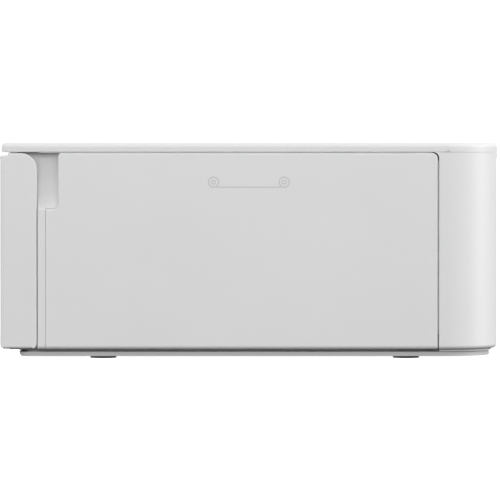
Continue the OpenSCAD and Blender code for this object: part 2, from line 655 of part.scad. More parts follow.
module fan_frame() color(dark) difference() {
  union() {
    difference() {
      box(-10, 10, 52.7, 60.7, 30.4, 50.4);
      translate([0, 52, 40.4]) rotate([-90, 0, 0]) cylinder(r = 9.3, h = 10);
    }
    translate([0, 52.7, 40.4]) rotate([-90, 0, 0]) cylinder(r = 3.6, h = 1);
    for (a = [0, 60, 120]) translate([0, 52.7, 40.4]) rotate([-90, 0, 0]) rotate(a)
      translate([-9.5, -0.6, 0]) cube([19, 1.2, 1]);
    translate([0, 53, 40.4]) rotate([-90, 0, 0]) cylinder(r = 0.8, h = 5);
  }
}
module fan_rotor() color(dark) difference() {
  union() {
    translate([0, 54, 40.4]) rotate([-90, 0, 0]) cylinder(r = 3.9, h = 5.6);
    for (k = [0:6]) translate([0, 56.8, 40.4]) rotate([-90, 0, 0]) rotate(k * 360 / 7)
      translate([6, 0, 0]) rotate([38, 0, 0]) cube([5.2, 0.6, 5.6], center = true);
  }
  translate([0, 53, 40.4]) rotate([-90, 0, 0]) cylinder(r = 0.85, h = 5.3);
}
module case_screws() color(steel)
  for (p = [[-80, -48], [80, -48], [-79, 50], [79, 50]]) {
    zcyl(p[0], p[1], 1.1, 2.4, 2.5);
    zcyl(p[0], p[1], 2.4, 11, 1.2);
  }

base_tray();
rubber_feet();
housing_shell();
front_bezel();
top_plate();
screen_window();
lcd_module();
front_cover();
front_cover_pins();
ink_door();
ink_door_pins();
power_button();
menu_button();
back_button();
ok_button();
four_way_pad();
print_button();
button_board();
main_board();
card_socket();
power_inlet();
chassis_frame();
bay_liner();
paper_guide();
ribbon_cassette_shell();
supply_spool();
supply_ribbon();
takeup_spool();
takeup_ribbon();
ribbon_web();
print_head();
head_heat_sink();
head_bracket();
head_pivot_shaft();
head_sector();
head_lift_motor();
head_lift_pinion();
platen_shaft();
platen_rubber();
capstan_roller();
capstan_gear();
pinch_roller();
reduction_gear();
feed_motor();
feed_pinion();
eject_shaft();
eject_rubbers();
eject_gear();
eject_idler();
pickup_shaft();
pickup_rubber();
pickup_motor();
pickup_pinion();
ribbon_motor();
ribbon_pinion();
takeup_drive_gear();
gear_bracket();
fan_frame();
fan_rotor();
case_screws();
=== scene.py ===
"""Dresses the compact photo printer: finishes, edge roundings, small trim, light and camera.

Sizes are in millimetres, except where a docstring or the use of MM says metres.
"""

import json
import logging
import math
from collections.abc import Callable, Iterable, Sequence
from dataclasses import dataclass
from enum import Enum
from typing import ClassVar

import bmesh
import bpy
from mathutils import Matrix, Vector


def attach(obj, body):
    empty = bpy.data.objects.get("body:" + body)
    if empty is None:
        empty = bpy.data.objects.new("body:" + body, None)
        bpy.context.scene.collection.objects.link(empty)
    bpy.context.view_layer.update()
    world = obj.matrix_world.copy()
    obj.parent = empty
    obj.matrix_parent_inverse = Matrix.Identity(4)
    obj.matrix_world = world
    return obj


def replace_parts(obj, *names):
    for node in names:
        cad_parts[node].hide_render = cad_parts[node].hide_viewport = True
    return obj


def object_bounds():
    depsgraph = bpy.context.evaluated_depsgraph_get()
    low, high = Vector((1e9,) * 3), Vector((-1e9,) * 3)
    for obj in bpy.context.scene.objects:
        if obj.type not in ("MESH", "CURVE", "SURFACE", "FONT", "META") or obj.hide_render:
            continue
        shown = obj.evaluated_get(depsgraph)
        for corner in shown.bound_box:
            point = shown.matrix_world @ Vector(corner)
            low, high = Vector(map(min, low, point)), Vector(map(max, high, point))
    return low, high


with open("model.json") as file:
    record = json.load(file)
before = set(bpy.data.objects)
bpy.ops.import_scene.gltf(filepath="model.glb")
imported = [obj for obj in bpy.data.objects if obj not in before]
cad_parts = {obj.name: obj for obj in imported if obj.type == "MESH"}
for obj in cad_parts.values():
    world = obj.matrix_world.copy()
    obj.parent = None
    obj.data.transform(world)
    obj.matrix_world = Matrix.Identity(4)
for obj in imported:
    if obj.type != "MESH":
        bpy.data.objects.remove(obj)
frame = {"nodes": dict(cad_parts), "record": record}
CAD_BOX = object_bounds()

logging.basicConfig(level=logging.INFO, format="%(message)s")
log = logging.getLogger("printer")

Colour = tuple[float, float, float]
Point = tuple[float, float, float]

MM = 0.001
BODY_OF = {node: body for body, nodes in frame["record"]["behaviour"]["bodies"].items() for node in nodes}
# sizes of the machine, in millimetres
CASE_SIDE = round(CAD_BOX[1][0] / MM, 2)
CASE_FRONT = round(CAD_BOX[0][1] / MM, 2)
CASE_TOP = round(CAD_BOX[1][2] / MM, 2)
PLATE_UNDER = round(CASE_TOP - 2.4, 2)
COVER_FOOT = 2.8
SCOOP_FOOT = 40.12
# places safely past the case's sides and ends, and how near a point must be to lie on a face
PAST_SIDE = CASE_SIDE + 1.9
PAST_END = 3.5 - CASE_FRONT
NEAR = 0.08
# vertices nearer than this, in metres, are one: in new meshes, in copied solids and after a boolean
WELD, SOLID_WELD, CUT_WELD = 1e-7, 2e-6, 1e-5
# faces of a solid that turn less than this are one flat face
FLAT_DEG = 0.4


class Axis(Enum):
    """The machine's axis that a turned or extruded piece runs along."""

    X = "X"
    Y = "Y"
    Z = "Z"


class Pattern(Enum):
    """What a finish shows close up."""

    SPARK = "fine spark-eroded grain"
    BRUSHED = "fine lines along X"
    TURNED = "fine rings round X"
    SPANGLE = "zinc flake"
    SMOOTH = "no grain"


class Join(Enum):
    """What a boolean does with the second mesh."""

    CUT = "DIFFERENCE"
    ADD = "UNION"


def node_box(node: str) -> tuple[Vector, Vector]:
    """Measures a CAD node.

    Args:
        node: the node's name.

    Returns:
        Its lowest and highest corners, in millimetres.
    """
    places = [v.co / MM for v in frame["nodes"][node].data.vertices]
    low = Vector([min(p[k] for p in places) for k in range(3)])
    high = Vector([max(p[k] for p in places) for k in range(3)])
    return low, high


def middle(node: str) -> Point:
    """The middle of a CAD node's box, in millimetres."""
    low, high = node_box(node)
    return tuple(round(value, 2) for value in (low + high) / 2)


# ---------------------------------------------------------------- finishes
class Graph:
    """A material's node tree with the few nodes that the finishes share."""

    def __init__(self, name: str) -> None:
        """Starts a material.

        Args:
            name: the material's name.
        """
        self.material = bpy.data.materials.new(name)
        self.material.use_nodes = True
        self.tree = self.material.node_tree
        self.shader = next(n for n in self.tree.nodes if n.type == "BSDF_PRINCIPLED")
        self.coords = self.tree.nodes.new("ShaderNodeTexCoord")

    def link(self, out: bpy.types.NodeSocket, to: bpy.types.NodeSocket) -> None:
        """Joins two sockets."""
        self.tree.links.new(out, to)

    def noise(self, scale: Point, detail: float = 3.0) -> bpy.types.NodeSocket:
        """Adds a noise over the piece.

        Args:
            scale: cycles per metre along X, Y and Z.
            detail: octaves of finer noise.

        Returns:
            The noise's value, about 0 to 1.
        """
        mapping = self.tree.nodes.new("ShaderNodeMapping")
        mapping.inputs["Scale"].default_value = scale
        texture = self.tree.nodes.new("ShaderNodeTexNoise")
        texture.inputs["Scale"].default_value = 1.0
        texture.inputs["Detail"].default_value = detail
        self.link(self.coords.outputs["Object"], mapping.inputs["Vector"])
        self.link(mapping.outputs["Vector"], texture.inputs["Vector"])
        return texture.outputs["Fac"]

    def flakes(self, scale: float) -> bpy.types.NodeSocket:
        """Adds flat cells, as on plated sheet.

        Args:
            scale: cells per metre.

        Returns:
            One grey for each cell.
        """
        cells = self.tree.nodes.new("ShaderNodeTexVoronoi")
        cells.inputs["Scale"].default_value = scale
        self.link(self.coords.outputs["Object"], cells.inputs["Vector"])
        grey = self.tree.nodes.new("ShaderNodeRGBToBW")
        self.link(cells.outputs["Color"], grey.inputs["Color"])
        return grey.outputs["Val"]

    def spread(self, value: bpy.types.NodeSocket, low: float, high: float) -> bpy.types.NodeSocket:
        """Maps a noise's 0.3 to 0.7 on to low to high.

        Args:
            value: the socket to map.
            low: result at 0.3.
            high: result at 0.7.

        Returns:
            The mapped value.
        """
        node = self.tree.nodes.new("ShaderNodeMapRange")
        for key, number in (("From Min", 0.3), ("From Max", 0.7), ("To Min", low), ("To Max", high)):
            node.inputs[key].default_value = number
        self.link(value, node.inputs["Value"])
        return node.outputs["Result"]

    def tint(self, value: bpy.types.NodeSocket, first: Colour, second: Colour) -> None:
        """Colours the shader between two colours by a value."""
        ramp = self.tree.nodes.new("ShaderNodeValToRGB")
        ramp.color_ramp.elements[0].position = 0.3
        ramp.color_ramp.elements[0].color = (*first, 1.0)
        ramp.color_ramp.elements[1].position = 0.7
        ramp.color_ramp.elements[1].color = (*second, 1.0)
        self.link(value, ramp.inputs["Fac"])
        self.link(ramp.outputs["Color"], self.shader.inputs["Base Color"])

    def bump(self, height: bpy.types.NodeSocket, strength: float, depth: float) -> None:
        """Raises the surface by a value.

        Args:
            height: the value that lifts it.
            strength: 0 to 1.
            depth: metres from the lowest to the highest point.
        """
        node = self.tree.nodes.new("ShaderNodeBump")
        node.inputs["Strength"].default_value = strength
        node.inputs["Distance"].default_value = depth
        self.link(height, node.inputs["Height"])
        self.link(node.outputs["Normal"], self.shader.inputs["Normal"])


@dataclass(frozen=True)
class Finish:
    """A surface: its colour, gloss and close-up pattern.

    Grain is in cycles or cells per metre, depth in metres, and mottle is the share by which the colour
    drifts over the piece. Cloud is the cycles per metre of that drift, and relief the bump's strength.
    """

    name: str
    colour: Colour
    roughness: float
    pattern: Pattern = Pattern.SPARK
    metallic: float = 0.0
    grain: float = 2600.0
    depth: float = 0.00002
    mottle: float = 0.04
    coat: float = 0.0
    specular: float = 0.5
    glow: float = 0.0
    cloud: ClassVar[float] = 38.0
    relief: ClassVar[float] = 0.35

    def _pattern_scale(self) -> Point:
        """Cycles per metre along X, Y and Z for this pattern."""
        fine = self.grain
        return {
            Pattern.BRUSHED: (fine * 0.02, fine, fine),
            Pattern.TURNED: (fine, fine * 0.03, fine * 0.03),
        }.get(self.pattern, (fine, fine, fine))

    def material(self) -> bpy.types.Material:
        """Builds the material, or returns the one already built.

        Returns:
            The material.
        """
        known = bpy.data.materials.get(self.name)
        if known:
            return known
        g = Graph(self.name)
        s = g.shader.inputs
        s["Metallic"].default_value = self.metallic
        s["Coat Weight"].default_value = self.coat
        s["Specular IOR Level"].default_value = self.specular
        if self.glow:
            s["Emission Color"].default_value = (*self.colour, 1.0)
            s["Emission Strength"].default_value = self.glow
        broad = g.noise((self.cloud,) * 3, 2.0)
        low = tuple(c * (1.0 - self.mottle) for c in self.colour)
        high = tuple(min(1.0, c * (1.0 + self.mottle * 0.5)) for c in self.colour)
        if self.pattern is Pattern.SPANGLE:
            g.tint(g.flakes(self.grain), low, high)
        else:
            g.tint(broad, low, high)
        fine = g.noise(self._pattern_scale(), 4.0)
        g.link(g.spread(fine, self.roughness * 0.9, min(1.0, self.roughness * 1.1)), s["Roughness"])
        if self.pattern is not Pattern.SMOOTH:
            g.bump(fine, self.relief, self.depth)
        return g.material


SHELL = Finish("shell_white", (0.725, 0.725, 0.731), 0.45, mottle=0.012)
# The plinth's grey is painted shade: the shell's white plastic made darker for the shade under the case's
# overhang.
SHADED_PLINTH = Finish("plinth_painted_shade", (0.52, 0.52, 0.53), 0.55, mottle=0.02)
MARK = Finish("pressed_mark", (0.57, 0.57, 0.58), 0.45, mottle=0.012)
SOFT_GREY = Finish("bezel_grey", (0.27, 0.28, 0.29), 0.55)
KEY_GREY = Finish("key_grey", (0.5, 0.51, 0.52), 0.42)
KEY_ICON = Finish("key_icon", (0.08, 0.085, 0.09), 0.5, Pattern.SMOOTH)
INNER_DARK = Finish("liner_black", (0.018, 0.018, 0.02), 0.5)
GEAR_PLASTIC = Finish("acetal", (0.72, 0.7, 0.62), 0.34, grain=1400.0, mottle=0.03)
CASSETTE = Finish("cassette_plastic", (0.035, 0.042, 0.055), 0.38)
SHEET_STEEL = Finish("plated_sheet", (0.62, 0.63, 0.64), 0.34, Pattern.SPANGLE, 1.0, 420.0, mottle=0.12)
BRIGHT_STEEL = Finish("ground_steel", (0.7, 0.7, 0.71), 0.2, Pattern.TURNED, 1.0, 3000.0)
CAN = Finish("motor_can", (0.52, 0.53, 0.54), 0.3, Pattern.TURNED, 1.0, 2400.0)
BRASS = Finish("brass", (0.72, 0.52, 0.22), 0.26, Pattern.TURNED, 1.0, 2600.0)
ALUMINIUM = Finish("extruded_aluminium", (0.76, 0.77, 0.79), 0.32, Pattern.BRUSHED, 1.0, 3000.0)
CERAMIC = Finish("glazed_ceramic", (0.72, 0.66, 0.54), 0.18, Pattern.SMOOTH, coat=0.5)
ROLLER = Finish("roller_rubber", (0.025, 0.025, 0.027), 0.72, grain=1800.0)
FOOT = Finish("foot_rubber", (0.03, 0.03, 0.032), 0.78, grain=1500.0)
BOARD = Finish("board_lacquer", (0.015, 0.11, 0.045), 0.25, Pattern.SMOOTH, coat=0.6)
CHIP = Finish("chip_resin", (0.02, 0.02, 0.022), 0.5)
FILM = Finish("ribbon_film", (0.32, 0.05, 0.16), 0.16, Pattern.SMOOTH, coat=0.7)
GLASS = Finish("screen_cover", (0.012, 0.013, 0.015), 0.06, Pattern.SMOOTH, coat=1.0)
DISPLAY = Finish("display_face", (0.02, 0.024, 0.03), 0.2, Pattern.SMOOTH)
GOLD = Finish("contact_gold", (0.9, 0.66, 0.25), 0.25, Pattern.SMOOTH, 1.0)
FLOOR_PAPER = Finish("floor_paper", (1.0, 1.0, 1.0), 0.9, Pattern.SMOOTH, glow=1.0, mottle=0.0, specular=0.0)


# ---------------------------------------------------------------- mesh help
def finish_piece(name: str, bm: bmesh.types.BMesh, body: str, finish: Finish,
                 smooth_deg: float = 32.0) -> bpy.types.Object:
    """Turns a bmesh into a dressed piece that rides on a body.

    Args:
        name: the piece's name.
        bm: the mesh, in the machine's coordinates; it is freed.
        body: the body that it rides on.
        finish: its finish.
        smooth_deg: edges sharper than this stay crisp.

    Returns:
        The new object.
    """
    limit = math.radians(smooth_deg)
    for face in bm.faces:
        face.smooth = True
    for edge in bm.edges:
        edge.smooth = len(edge.link_faces) == 2 and edge.calc_face_angle(0.0) < limit
    mesh = bpy.data.meshes.new(name)
    bm.to_mesh(mesh)
    bm.free()
    piece = bpy.data.objects.new(name, mesh)
    bpy.context.scene.collection.objects.link(piece)
    mesh.materials.append(finish.material())
    weighted = piece.modifiers.new("weighted", "WEIGHTED_NORMAL")
    weighted.keep_sharp = True
    weighted.weight = 60
    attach(piece, body)
    log.info("%s on %s: %d faces", name, body, len(mesh.polygons))
    return piece


def flatten(bm: bmesh.types.BMesh) -> None:
    """Makes the flat faces of a mesh whole."""
    bmesh.ops.dissolve_limit(bm, angle_limit=math.radians(FLAT_DEG), verts=bm.verts, edges=bm.edges)


def cad_copy(node: str) -> bmesh.types.BMesh:
    """Copies a CAD node's mesh, merged, with its flat faces made whole.

    Args:
        node: the CAD node's name.

    Returns:
        The merged mesh.
    """
    bm = bmesh.new()
    bm.from_mesh(frame["nodes"][node].data)
    bmesh.ops.remove_doubles(bm, verts=bm.verts, dist=SOLID_WELD)
    flatten(bm)
    return bm


def round_edges(bm: bmesh.types.BMesh, width: float, segments: int = 3, least_deg: float = 34.0,
                where: Callable[[Vector], bool] | None = None) -> None:
    """Rounds the sharp edges of a mesh.

    Args:
        bm: the mesh.
        width: the rounding's reach, in metres.
        segments: faces across the rounding.
        least_deg: edges flatter than this stay.
        where: takes a point in millimetres; an edge is rounded where it holds at both ends, and
            then to the full width. Without it every sharp edge is rounded, as far as its neighbours
            allow.
    """
    least = math.radians(least_deg)
    edges = [e for e in bm.edges if len(e.link_faces) == 2 and e.calc_face_angle(0.0) > least
             and (where is None or all(where(v.co / MM) for v in e.verts))]
    bmesh.ops.bevel(bm, geom=edges, offset=width, offset_type="OFFSET", segments=segments,
                    profile=0.5, affect="EDGES", clamp_overlap=where is None, material=-1)
    bmesh.ops.remove_doubles(bm, verts=bm.verts, dist=WELD)


def turned(points: Sequence[tuple[float, float]], centre: Point, axis: Axis,
           steps: int = 48) -> bmesh.types.BMesh:
    """Spins a profile of (radius, along) points round an axis.

    Args:
        points: the profile in millimetres, closed on the axis or on itself.
        centre: a point on the axis, in millimetres.
        axis: the axis's direction.
        steps: faces round it.

    Returns:
        The closed mesh, in the machine's coordinates.
    """
    bm = bmesh.new()
    verts = [bm.verts.new((r * MM, 0.0, a * MM)) for r, a in points]
    edges = [bm.edges.new(pair) for pair in zip(verts, verts[1:])]
    if points[0][0] > 0 and points[-1][0] > 0:
        edges.append(bm.edges.new((verts[-1], verts[0])))
    bmesh.ops.spin(bm, geom=verts + edges, cent=(0, 0, 0), axis=(0, 0, 1), dvec=(0, 0, 0),
                   angle=math.tau, steps=steps, use_merge=True)
    bmesh.ops.remove_doubles(bm, verts=bm.verts, dist=WELD)
    bmesh.ops.recalc_face_normals(bm, faces=bm.faces)
    turn = {Axis.X: Matrix.Rotation(math.pi / 2, 4, "Y"), Axis.Y: Matrix.Rotation(-math.pi / 2, 4, "X"),
            Axis.Z: Matrix.Identity(4)}[axis]
    move = Matrix.Translation(Vector(centre) * MM)
    bmesh.ops.transform(bm, matrix=move @ turn, verts=bm.verts)
    return bm


def block(low: Point, high: Point, edge: float = 0.15, segments: int = 2) -> bmesh.types.BMesh:
    """Makes a box with rounded edges.

    Args:
        low: lowest corner, in millimetres.
        high: highest corner, in millimetres.
        edge: the rounding, in millimetres.
        segments: faces across the rounding.

    Returns:
        The mesh, in the machine's coordinates.
    """
    bm = bmesh.new()
    bmesh.ops.create_cube(bm, size=1.0)
    a, b = Vector(low) * MM, Vector(high) * MM
    bmesh.ops.scale(bm, vec=b - a, verts=bm.verts)
    bmesh.ops.translate(bm, vec=(a + b) / 2, verts=bm.verts)
    if edge:
        round_edges(bm, edge * MM, segments)
    return bm


def joined(parts: Iterable[bmesh.types.BMesh]) -> bmesh.types.BMesh:
    """Puts several meshes into one and frees them.

    Args:
        parts: the meshes.

    Returns:
        One mesh with all their faces.
    """
    whole = bmesh.new()
    for part in parts:
        scratch = bpy.data.meshes.new("scratch")
        part.to_mesh(scratch)
        part.free()
        whole.from_mesh(scratch)
        bpy.data.meshes.remove(scratch)
    return whole


def flat_outline(points: Iterable[tuple[float, float]], base: float, height: float,
                 axis: Axis = Axis.Z) -> bmesh.types.BMesh:
    """Extrudes an outline along an axis.

    Args:
        points: the outline in millimetres, (x, y) for Axis.Z, (x, z) for Axis.Y and (y, z) for Axis.X.
        base: where it starts along the axis, in millimetres.
        height: how far it is extruded, in millimetres.
        axis: the direction of the extrusion.

    Returns:
        The mesh, in the machine's coordinates.
    """
    bm = bmesh.new()
    if axis is Axis.Z:
        verts = [bm.verts.new((x * MM, y * MM, base * MM)) for x, y in points]
        push = Vector((0, 0, height * MM))
    elif axis is Axis.Y:
        verts = [bm.verts.new((x * MM, base * MM, z * MM)) for x, z in points]
        push = Vector((0, height * MM, 0))
    else:
        verts = [bm.verts.new((base * MM, y * MM, z * MM)) for y, z in points]
        push = Vector((height * MM, 0, 0))
    face = bm.faces.new(verts)
    out = bmesh.ops.extrude_face_region(bm, geom=[face])
    bmesh.ops.translate(bm, vec=push, verts=[v for v in out["geom"] if isinstance(v, bmesh.types.BMVert)])
    bmesh.ops.recalc_face_normals(bm, faces=bm.faces)
    return bm


def merged(bm: bmesh.types.BMesh, other: bmesh.types.BMesh, how: Join = Join.CUT) -> bmesh.types.BMesh:
    """Cuts one closed mesh out of another, or adds it, and frees both.

    Args:
        bm: the mesh that is changed.
        other: what is taken away or added.
        how: whether the other is cut away or added.

    Returns:
        The new mesh.
    """
    objects = []
    for part in (bm, other):
        mesh = bpy.data.meshes.new("scratch")
        part.to_mesh(mesh)
        part.free()
        objects.append(bpy.data.objects.new("scratch", mesh))
        bpy.context.scene.collection.objects.link(objects[-1])
    boolean = objects[0].modifiers.new("boolean", "BOOLEAN")
    boolean.operation, boolean.solver, boolean.object = how.value, "EXACT", objects[1]
    left = bmesh.new()
    left.from_mesh(objects[0].evaluated_get(bpy.context.evaluated_depsgraph_get()).to_mesh())
    for scratch in objects:
        mesh = scratch.data
        bpy.data.objects.remove(scratch)
        bpy.data.meshes.remove(mesh)
    bmesh.ops.remove_doubles(left, verts=left.verts, dist=CUT_WELD)
    return left


def ring(centre: Point, outer: float, inner: float, thick: float, axis: Axis,
         steps: int = 48) -> bmesh.types.BMesh:
    """Makes a flat ring that starts at centre and runs thick along its axis, in millimetres."""
    return turned([(inner, 0), (outer, 0), (outer, thick), (inner, thick)], centre, axis, steps)


# ---------------------------------------------------------------- the case
@dataclass(frozen=True)
class Rim:
    """A rounding along those outer edges that lie where a test holds."""

    width_mm: float
    where: Callable[[Vector], bool]


def on_flank(p: Vector) -> bool:
    """Whether a point in millimetres lies on the left or right face."""
    return abs(p.x) > CASE_SIDE - NEAR


def on_front(p: Vector) -> bool:
    """Whether a point in millimetres lies on the cover's outer skin, over its foot."""
    corner = abs(p.x) > CASE_SIDE - 1.2 and p.y < CASE_FRONT + 1.5
    return p.z > COVER_FOOT + 0.8 and (on_flank(p) or p.y < CASE_FRONT + NEAR or corner)


def at_cover_foot(p: Vector) -> bool:
    """Whether a point in millimetres lies at the foot of one of the cover's flanges."""
    return on_flank(p) and p.z < COVER_FOOT + 0.1


def beside_door(p: Vector) -> bool:
    """Whether a point in millimetres lies on the right face, level with the ink door's rear half."""
    return p.x > CASE_SIDE - NEAR and p.y > 0 and p.z < PLATE_UNDER - 0.2


def at_scoop_foot(p: Vector) -> bool:
    """Whether a point in millimetres lies on the strip's edge at the finger scoop's foot."""
    level = SCOOP_FOOT - 0.12 < p.z < SCOOP_FOOT + 0.18
    return p.x > CASE_SIDE - 0.01 and p.y < -54 and level


def on_door_rim(p: Vector) -> bool:
    """Whether a point in millimetres lies on the ink door's face, but not on its edge below the notch."""
    return on_flank(p) and (p.z > SCOOP_FOOT - 0.22 or p.y > 0)


def on_plate_foot(p: Vector) -> bool:
    """Whether a point in millimetres lies on the lower edge of the top plate's sides."""
    return on_flank(p) and p.z < PLATE_UNDER + 0.3


@dataclass(frozen=True)
class CaseShell:
    """One moulded outer part, carried over from its solid with its edges broken."""

    node: str
    body: str
    rims: tuple[Rim, ...] = ()
    finish: Finish = SHELL
    slot: str = "case_white"
    edge_mm: float = 0.12

    def mesh(self) -> bmesh.types.BMesh:
        """The solid's mesh before its edges are rounded."""
        return cad_copy(self.node)

    def build(self) -> None:
        """Builds the piece in place of its solid."""
        bm = self.mesh()
        for rim in self.rims:
            round_edges(bm, rim.width_mm * MM, 3, where=rim.where)
        if not self.rims:
            round_edges(bm, self.edge_mm * MM, 2)
        piece = finish_piece(self.node + "_shell", bm, self.body, self.finish)
        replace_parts(piece, self.node)


@dataclass(frozen=True)
class DoorShell(CaseShell):
    """The ink door: its edge at the finger scoop is square, and a tongue closes its hinge edge's gap."""

    notch_y: float = -51.0
    notch_z: float = 40.05
    notch_round: float = 1.6
    top_round: float = 1.0
    inner_x: float = 88.95
    overlap: float = 2.3
    under_notch: float = 0.5
    tongue: tuple[Point, Point] = ((89.2, 49.6, 6.6), (90.35, 50.34, 52.9))

    def edge(self) -> bmesh.types.BMesh:
        """The bar along the notch that fills the solid's rolled edge."""
        y, foot, r, top_r = self.notch_y, self.notch_z, self.notch_round, self.top_round
        top = round(node_box(self.node)[1].z, 2)
        turns = [k * math.pi / 16 for k in range(9)]
        upper = [(y + top_r - math.sin(a) * top_r, top - top_r + math.cos(a) * top_r) for a in turns]
        lower = [(y - r + r * math.cos(a), foot + r - r * math.sin(a)) for a in turns]
        inside = [(y + self.overlap, foot - self.under_notch), (y + self.overlap, top)]
        return flat_outline([*inside, *upper, *lower, (y - r, foot - self.under_notch)],
                            self.inner_x, CASE_SIDE - self.inner_x, Axis.X)

    def mesh(self) -> bmesh.types.BMesh:
        """The solid's mesh with its leading edge made square."""
        bm = merged(cad_copy(self.node), self.edge(), Join.ADD)
        flatten(bm)
        return bm

    def build(self) -> None:
        """Builds the tongue and the door."""
        finish_piece("ink_door_tongue", block(*self.tongue, 0.05, 1), self.body, self.finish)
        super().build()


@dataclass(frozen=True)
class HousingShell(CaseShell):
    """The housing, with the finger scoop's floor recut.

    The floor comes out slowly from its top to the knee, and then faster to its foot.
    """

    knee: float = 11.2
    top_depth: float = 3.4
    knee_depth: float = 2.62
    foot_slope: float = 0.139
    foot_curve: float = 0.045
    over: float = 0.4
    steps: int = 40
    front_y: float = -63.0
    length: float = 12.0
    backing: tuple[Point, Point] = ((86.6, -51.9, SCOOP_FOOT + 0.2), (88.85, -45.6, 55.1))

    def depth(self, down: float) -> float:
        """How deep the scoop's floor lies.

        Args:
            down: the distance below the top plate, in millimetres.

        Returns:
            The depth from the machine's side, in millimetres.
        """
        past = down - self.knee
        if past > 0:
            return self.knee_depth - self.foot_slope * past - self.foot_curve * past ** 2
        return self.top_depth - (self.top_depth - self.knee_depth) * (max(down, 0.0) / self.knee) ** 2

    def mesh(self) -> bmesh.types.BMesh:
        """The solid's mesh with the scoop's floor recut up to the ink door's edge."""
        fall = PLATE_UNDER + self.over - SCOOP_FOOT
        downs = [fall * k / self.steps - self.over for k in range(self.steps + 1)]
        floor = [(CASE_SIDE - self.depth(down), PLATE_UNDER - down) for down in downs]
        outside = [(PAST_SIDE, SCOOP_FOOT), (PAST_SIDE, PLATE_UNDER + self.over)]
        hollow = flat_outline([*floor, *outside], self.front_y, self.length, Axis.Y)
        backed = merged(cad_copy(self.node), block(*self.backing, 0), Join.ADD)
        return merged(backed, hollow)


def corner_cutter(y: float, z: float, radius: float, toward: int) -> bmesh.types.BMesh:
    """Makes the bar that rounds a lower corner of the side view over the whole width.

    Args:
        y: the corner's place, in millimetres.
        z: the corner's height, in millimetres.
        radius: the rounding, in millimetres.
        toward: 1 where the part lies behind the corner, -1 where it lies in front.

    Returns:
        The bar, to be cut away.
    """
    arc = [(y + toward * radius * (1 - math.sin(a)), z + radius * (1 - math.cos(a)))
           for a in (k * math.pi / 20 for k in range(11))]
    outside = [(y - toward, z + radius), (y - toward, z - 1), (y + toward * radius, z - 1)]
    return flat_outline([*arc, *outside], -PAST_SIDE, 2 * PAST_SIDE, Axis.X)


@dataclass(frozen=True)
class CoverShell(CaseShell):
    """The front cover, with the lower rear corners of its flanges rounded."""

    corner_round: float = 1.6

    def mesh(self) -> bmesh.types.BMesh:
        """The solid's mesh with the two corners cut."""
        rear = round(node_box(self.node)[1].y, 2)
        return merged(cad_copy(self.node), corner_cutter(rear, COVER_FOOT, self.corner_round, -1))


@dataclass(frozen=True)
class TrayShell(CaseShell):
    """The base tray, with its underside drawn up between the feet and its front corner rounded."""

    underside: float = 0.78
    corner_round: float = 1.2

    def mesh(self) -> bmesh.types.BMesh:
        """The solid's mesh with its underside and front corner trimmed."""
        below = block((-PAST_SIDE, -PAST_END, -1), (PAST_SIDE, PAST_END, self.underside), 0)
        front = round(node_box(self.node)[0].y, 2)
        corner = corner_cutter(front, self.underside, self.corner_round, 1)
        return merged(merged(cad_copy(self.node), below), corner)


@dataclass(frozen=True)
class Skirt:
    """The thin step under the housing's rear, between its rounded lower edge and the tray."""

    reach: float = 89.65
    rear: float = 65.05
    radius: float = 12.5
    thick: float = 1.5
    from_y: float = 50.6
    low: float = 2.15
    tall: float = 1.1

    def band(self, radius: float) -> list[tuple[float, float]]:
        """One edge of the band, from the right side round the rear to the left side.

        Args:
            radius: the edge's corner radius, in millimetres.

        Returns:
            Its points, in millimetres.
        """
        x, y = self.reach - self.radius, self.rear - self.radius
        turn = [k * math.pi / 40 for k in range(21)]
        corner = [(x + radius * math.cos(a), y + radius * math.sin(a)) for a in turn]
        right = [(x + radius, self.from_y), *corner]
        return right + [(-px, py) for px, py in reversed(right)]

    def build(self) -> None:
        """Builds the step as one band round the rear."""
        points = self.band(self.radius) + self.band(self.radius - self.thick)[::-1]
        bm = flat_outline(points, self.low, self.tall)
        finish_piece("rear_skirt", bm, "chassis", SHELL)


@dataclass(frozen=True)
class DoorMark:
    """A plain pressed sign for a ribbon cassette: two rolls and the strip between them."""

    middle_y: float = -0.2
    middle_z: float = 47.2
    apart: float = 9.4
    high: float = 0.1
    sunk: float = 0.06
    roll: tuple[float, float] = (1.5, 1.18)
    core: tuple[float, float] = (0.65, 0.35)
    strip_half: float = 8.55
    strip_z: tuple[float, float] = (-1.5, -1.2)

    def build(self) -> None:
        """Builds the sign on the ink door."""
        x, y, z, high = CASE_SIDE - self.sunk, self.middle_y, self.middle_z, self.high
        sides = (-self.apart, self.apart)
        parts = [ring((x, y + side, z), *self.roll, high, Axis.X, 40) for side in sides]
        parts += [ring((x, y + side, z), *self.core, high, Axis.X, 28) for side in sides]
        low_z, high_z = (z + strip for strip in self.strip_z)
        parts.append(block((x, y - self.strip_half, low_z), (x + high, y + self.strip_half, high_z), 0))
        finish_piece("ink_door_mark", joined(parts), "ink_door", MARK)


@dataclass(frozen=True)
class Feet:
    """The rubber feet, each with a shallow dish in its face."""

    x: tuple[float, float] = (-80, 80)
    y: tuple[float, float] = (-39.3, 42.0)
    profile: tuple[tuple[float, float], ...] = ((0, 0.25), (2.3, 0.25), (2.45, 0.03), (2.6, 0), (3.4, 0),
                                                (3.48, 0.05), (3.5, 0.12), (3.5, 1.2), (0, 1.2))

    def build(self) -> None:
        """Builds the feet in place of their solids."""
        parts = [turned(self.profile, (x, y, 0), Axis.Z, 40) for x in self.x for y in self.y]
        piece = finish_piece("feet_rubber", joined(parts), "chassis", FOOT)
        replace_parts(piece, "rubber_feet")


